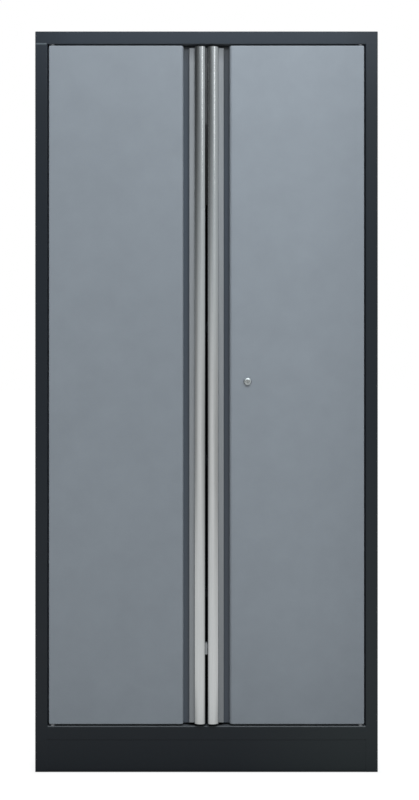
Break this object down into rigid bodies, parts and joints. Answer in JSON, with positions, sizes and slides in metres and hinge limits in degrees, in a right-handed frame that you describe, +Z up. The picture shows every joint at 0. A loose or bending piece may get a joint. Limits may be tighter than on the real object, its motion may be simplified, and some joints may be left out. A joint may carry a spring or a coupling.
{
  "type": "tall storage cabinet",
  "caption": "Tall free-standing steel storage cabinet with double hinged doors, full-height aluminium pull handles, a cam lock, shelves and levelling feet.",
  "frame": {"origin": "on the floor, under the middle of the cabinet's bounding box", "axes": "+Z up, the doors and handles face -Y, +X to the right for a person facing the doors"},
  "size_m": [0.916, 0.4686, 1.98],
  "materials": {
    "carcass_coat": "charcoal powder coat, fine texture, satin",
    "inside_coat": "charcoal powder coat, fine texture, satin",
    "door_coat": "blue-grey powder coat, fine texture, satin",
    "channel_coat": "dark slate powder coat, satin",
    "handle_aluminium": "satin anodised, brushed along its length",
    "lock_chrome": "satin plating",
    "zinc_steel": "zinc plated",
    "nylon": "natural nylon, matte",
    "black_plastic": "moulded, matte",
    "magnet_ferrite": "ground ferrite",
    "stop_rubber": "soft moulded rubber",
    "buffer_grey": "grey moulded buffer, matte"
  },
  "bodies": {
    "cabinet": {"left_side_panel": "carcass_coat", "right_side_panel": "carcass_coat", "top_panel": "carcass_coat", "door_header": "carcass_coat", "bottom_panel": "carcass_coat", "kick_plate": "carcass_coat", "rear_base_rail": "carcass_coat", "back_panel": "inside_coat", "right_front_shelf_standard": "inside_coat", "left_front_shelf_standard": "inside_coat", "right_rear_shelf_standard": "inside_coat", "left_rear_shelf_standard": "inside_coat", "shelf_1": "inside_coat", "shelf_2": "inside_coat", "shelf_3": "inside_coat", "shelf_4": "inside_coat", "foot_brackets": "inside_coat", "lower_hinge_brackets": "inside_coat", "upper_hinge_brackets": "inside_coat", "back_panel_screws": "zinc_steel", "hinge_pins": "zinc_steel", "shelf_clips": "zinc_steel", "foot_weld_nuts": "zinc_steel", "hinge_washers": "nylon", "magnetic_catch_housings": "black_plastic", "catch_magnets": "magnet_ferrite", "door_stop_buffers": "stop_rubber"},
    "left_door": {"left_door_skin": "door_coat", "left_finger_channel": "channel_coat", "left_door_inner_panel": "door_coat", "left_door_stiffener": "door_coat", "left_handle_bar": "handle_aluminium", "left_handle_lip": "handle_aluminium", "left_handle_screws": "zinc_steel", "left_pivot_blocks": "nylon", "left_strike_plate": "zinc_steel", "left_door_buffers": "buffer_grey", "left_bolt_guide": "nylon"},
    "right_door": {"right_door_skin": "door_coat", "right_finger_channel": "channel_coat", "right_door_inner_panel": "door_coat", "right_door_stiffener": "door_coat", "right_handle_bar": "handle_aluminium", "right_handle_lip": "handle_aluminium", "right_handle_screws": "zinc_steel", "right_pivot_blocks": "nylon", "right_strike_plate": "zinc_steel", "lock_body": "lock_chrome", "lock_nut": "zinc_steel", "lock_rod_guides": "nylon"},
    "lock_cylinder": {"lock_plug": "lock_chrome", "lock_cam": "zinc_steel", "lock_cam_screw": "zinc_steel"},
    "upper_rod": {"upper_lock_rod": "zinc_steel"},
    "lower_rod": {"lower_lock_rod": "zinc_steel"},
    "door_bolt": {"left_door_bolt": "zinc_steel"},
    "left_front_foot": {"left_front_levelling_foot": "zinc_steel"},
    "left_rear_foot": {"left_rear_levelling_foot": "zinc_steel"},
    "right_front_foot": {"right_front_levelling_foot": "zinc_steel"},
    "right_rear_foot": {"right_rear_levelling_foot": "zinc_steel"}
  },
  "joints": [
    {"name": "left_door_hinge", "type": "hinge", "parent": "cabinet", "child": "left_door", "pos_m": [-0.412, -0.2168, 0], "axis": [0, 0, -1], "range_deg": [0, 110]},
    {"name": "right_door_hinge", "type": "hinge", "parent": "cabinet", "child": "right_door", "pos_m": [0.412, -0.2168, 0], "axis": [0, 0, 1], "range_deg": [0, 110]},
    {"name": "lock_turn", "type": "hinge", "parent": "right_door", "child": "lock_cylinder", "pos_m": [0.1098, -0.2243, 1.044], "axis": [0, -1, 0], "range_deg": [0, 90]},
    {"name": "upper_rod_slide", "type": "slide", "parent": "right_door", "child": "upper_rod", "axis": [0, 0, 1], "range_m": [0, 0.01697]},
    {"name": "lower_rod_slide", "type": "slide", "parent": "right_door", "child": "lower_rod", "axis": [0, 0, -1], "range_m": [0, 0.017]},
    {"name": "door_bolt_slide", "type": "slide", "parent": "left_door", "child": "door_bolt", "axis": [0, 0, 1], "range_m": [0, 0.016]},
    {"name": "left_front_foot_screw", "type": "slide", "parent": "cabinet", "child": "left_front_foot", "axis": [0, 0, -1], "range_m": [0, 0.015]},
    {"name": "left_rear_foot_screw", "type": "slide", "parent": "cabinet", "child": "left_rear_foot", "axis": [0, 0, -1], "range_m": [0, 0.015]},
    {"name": "right_front_foot_screw", "type": "slide", "parent": "cabinet", "child": "right_front_foot", "axis": [0, 0, -1], "range_m": [0, 0.015]},
    {"name": "right_rear_foot_screw", "type": "slide", "parent": "cabinet", "child": "right_rear_foot", "axis": [0, 0, -1], "range_m": [0, 0.015]}
  ],
  "couplings": [
    {"joint": "lock_turn", "follows": "upper_rod_slide", "rad_per_m": 92.563},
    {"joint": "lower_rod_slide", "follows": "upper_rod_slide", "ratio": 1}
  ]
}
